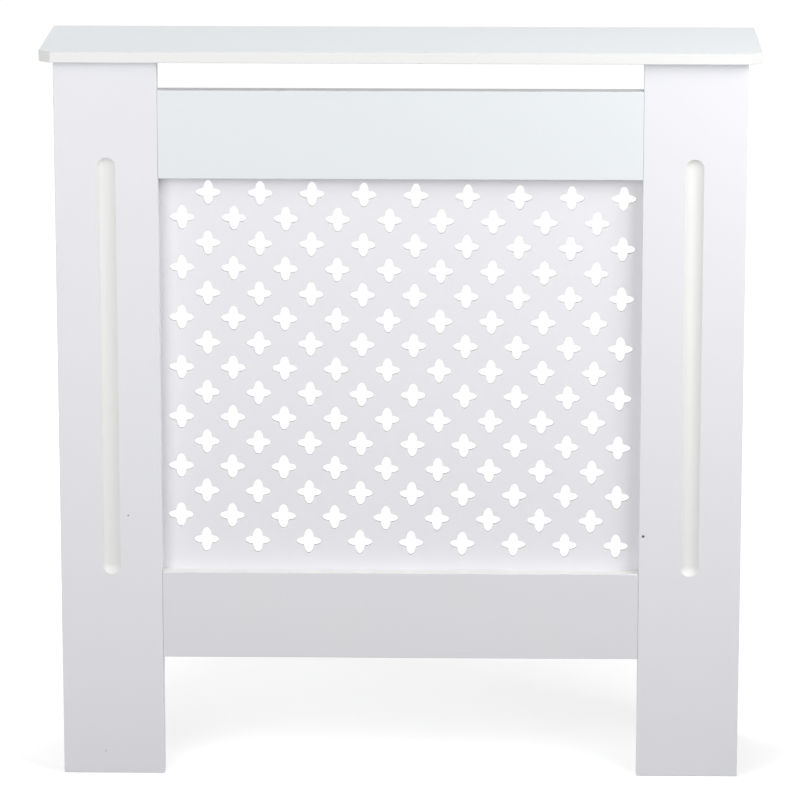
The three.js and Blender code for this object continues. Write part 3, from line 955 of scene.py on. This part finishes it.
def wall_bracket(node):
    """A bent steel angle with a hole in each arm."""
    low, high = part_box(node)
    gauge = BRACKET_THICKNESS
    corners = [
        Vector((high.y - gauge, low.z)),
        Vector((high.y, low.z)),
        Vector((high.y, high.z)),
        Vector((low.y, high.z)),
        Vector((low.y, high.z - gauge)),
        Vector((high.y - gauge, high.z - gauge)),
    ]
    end = BRACKET_END_CORNER
    outline = rounded(corners, [end, end, BRACKET_OUTER_BEND, end, end, BRACKET_INNER_BEND])
    skin = Skin(placed(Vector((low.x, 0, 0)), Y, Z))
    width = high.x - low.x
    arm_middle = (high.y - low.y + gauge) / 2
    holes = [
        (Vector((high.y - arm_middle, high.z - gauge, width / 2)), Y, BORE_DIAMETERS["screw"]),
        (Vector((high.y - gauge, high.z - arm_middle, width / 2)), X, BRACKET_HOLE_DIAMETER),
    ]
    bored = []
    for centre, into, diameter in holes:
        near, far = skin.tunnel(centre, into, diameter / 2, gauge)
        bored += [(centre, -into, near), (centre + into * gauge, into, far)]
    extrude(skin, outline, width, SHEET_ARRIS, bored)
    skin.build(f"bent_{node}", ZINC, "zinc_steel", node)


# ---------------------------------------------------------------- the cabinet

for side in ("left", "right"):
    front_board(f"{side}_stile", STILE_PAINT, flute)
    side_panel(side)
front_board("top_rail", COOL_PAINT)
front_board("bottom_rail", SHADED_RAIL_PAINT)
punched_board()
top_board()
for name in sorted(frame["nodes"]):
    if name.endswith("cam"):
        cam(name)
    elif name.startswith("lattice_screw"):
        lattice_screw(name)
    elif name.endswith("bracket_screw"):
        bracket_screw(name)
    elif name.endswith("wall_bracket"):
        wall_bracket(name)
    elif name.endswith("bolt"):
        refinish(name, ZINC)
    elif "dowel" in name:
        refinish(name, BEECH[longest_axis(name)])


# ---------------------------------------------------------------- stage, light and camera

# The camera, as fitted to the edges of the photographed cabinet. Its angles are in radians.
CAMERA_PLACE = (0.1008, -5.080, 1.5951)
CAMERA_DIP = 0.2291
CAMERA_TURN = 0.0202
SENSOR_WIDTH = 36.0
LENS_LENGTH = 211.0

FLOOR_SIZE = 120.0
SKY_LEVEL = 0.4
LAMP_TARGET = Vector((0, 0, 0.45))
LAMP_SIZE = 0.8

# How much light the floor throws back at things, and how bright it looks to the camera where light falls.
FLOOR_BOUNCE = (0.45, 0.45, 0.45, 1.0)
FLOOR_VEIL = (0.9, 0.9, 0.9, 1.0)

# The floor also glows for the camera, less so round the cabinet, where the lamps light it.
FLOOR_GLOW_NEAR = 0.26
FLOOR_GLOW_FAR = 0.66
FLOOR_NEAR_REACH = 0.5
FLOOR_FAR_REACH = 2.2


def seen_directly(nodes, links):
    """1 for what the camera sees, straight, in a reflection or through glass, and 0 for light on things."""
    path = nodes.new("ShaderNodeLightPath")
    share = path.outputs["Is Camera Ray"]
    for name in ("Is Glossy Ray", "Is Transmission Ray"):
        either = nodes.new("ShaderNodeMath")
        either.operation = "MAXIMUM"
        links.new(share, either.inputs[0])
        links.new(path.outputs[name], either.inputs[1])
        share = either.outputs[0]
    return share


def studio_floor():
    """A pale floor that looks white and keeps a soft shadow."""
    half = FLOOR_SIZE / 2
    mesh = bpy.data.meshes.new("studio_floor")
    corners = [(*corner, 0) for corner in rectangle(-half, -half, half, half)]
    mesh.from_pydata(corners, [], [(0, 1, 2, 3)])
    floor = bpy.data.objects.new("studio_floor", mesh)
    bpy.context.scene.collection.objects.link(floor)
    paper = bpy.data.materials.new("studio_paper")
    paper.use_nodes = True
    nodes = paper.node_tree.nodes
    links = paper.node_tree.links
    nodes.clear()
    plain = nodes.new("ShaderNodeBsdfDiffuse")
    plain.inputs["Color"].default_value = FLOOR_BOUNCE
    veiled = nodes.new("ShaderNodeBsdfDiffuse")
    veiled.inputs["Color"].default_value = FLOOR_VEIL
    glow = nodes.new("ShaderNodeEmission")
    place = nodes.new("ShaderNodeTexCoord")
    reach = nodes.new("ShaderNodeVectorMath")
    reach.operation = "LENGTH"
    links.new(place.outputs["Object"], reach.inputs[0])
    strength = nodes.new("ShaderNodeMapRange")
    strength.inputs["From Min"].default_value = FLOOR_NEAR_REACH
    strength.inputs["From Max"].default_value = FLOOR_FAR_REACH
    strength.inputs["To Min"].default_value = FLOOR_GLOW_NEAR
    strength.inputs["To Max"].default_value = FLOOR_GLOW_FAR
    links.new(reach.outputs["Value"], strength.inputs["Value"])
    links.new(strength.outputs["Result"], glow.inputs["Strength"])
    both = nodes.new("ShaderNodeAddShader")
    links.new(veiled.outputs[0], both.inputs[0])
    links.new(glow.outputs[0], both.inputs[1])
    mix = nodes.new("ShaderNodeMixShader")
    links.new(seen_directly(nodes, links), mix.inputs[0])
    links.new(plain.outputs[0], mix.inputs[1])
    links.new(both.outputs[0], mix.inputs[2])
    output = nodes.new("ShaderNodeOutputMaterial")
    links.new(mix.outputs[0], output.inputs["Surface"])
    mesh.materials.append(paper)


def studio_sky():
    """An even grey sky for light, seen as white."""
    world = bpy.data.worlds.new("studio_sky")
    bpy.context.scene.world = world
    world.use_nodes = True
    nodes = world.node_tree.nodes
    links = world.node_tree.links
    background = nodes["Background"]
    level = nodes.new("ShaderNodeMapRange")
    level.inputs["To Min"].default_value = SKY_LEVEL
    level.inputs["To Max"].default_value = 1.0
    links.new(seen_directly(nodes, links), level.inputs["Value"])
    links.new(level.outputs["Result"], background.inputs["Strength"])
    background.inputs["Color"].default_value = (1, 1, 1, 1)


def soft_light(name, turn, rise, reach, power):
    """A square lamp that looks at the middle of the cabinet, turned from the front to the right by degrees,
    raised by degrees and that far away."""
    lamp = bpy.data.lights.new(name, "AREA")
    lamp.size = LAMP_SIZE
    lamp.energy = power
    stand = bpy.data.objects.new(name, lamp)
    aim = Matrix.Rotation(math.radians(turn), 3, "Z") @ Matrix.Rotation(math.radians(90 - rise), 3, "X")
    stand.location = LAMP_TARGET + aim @ Vector((0, 0, reach))
    stand.rotation_euler = aim.to_euler()
    stand.visible_camera = False
    bpy.context.scene.collection.objects.link(stand)
    return stand


studio_floor()
studio_sky()
soft_light("key_light", turn=50, rise=30, reach=1.4, power=9.0)
soft_light("fill_light", turn=-30, rise=20, reach=1.6, power=8.6)
soft_light("top_light", turn=180, rise=70, reach=2.6, power=13.0)
back_light = soft_light("back_light", turn=-140, rise=20, reach=1.6, power=7.5)
back_light.visible_glossy = False

camera = bpy.data.objects.new("camera", bpy.data.cameras.new("camera"))
camera.location = CAMERA_PLACE
camera.rotation_euler = (math.pi / 2 - CAMERA_DIP, 0, CAMERA_TURN)
camera.data.sensor_width = SENSOR_WIDTH
camera.data.lens = LENS_LENGTH
bpy.context.scene.collection.objects.link(camera)
bpy.context.scene.camera = camera
bpy.context.scene.view_settings.view_transform = "Standard"
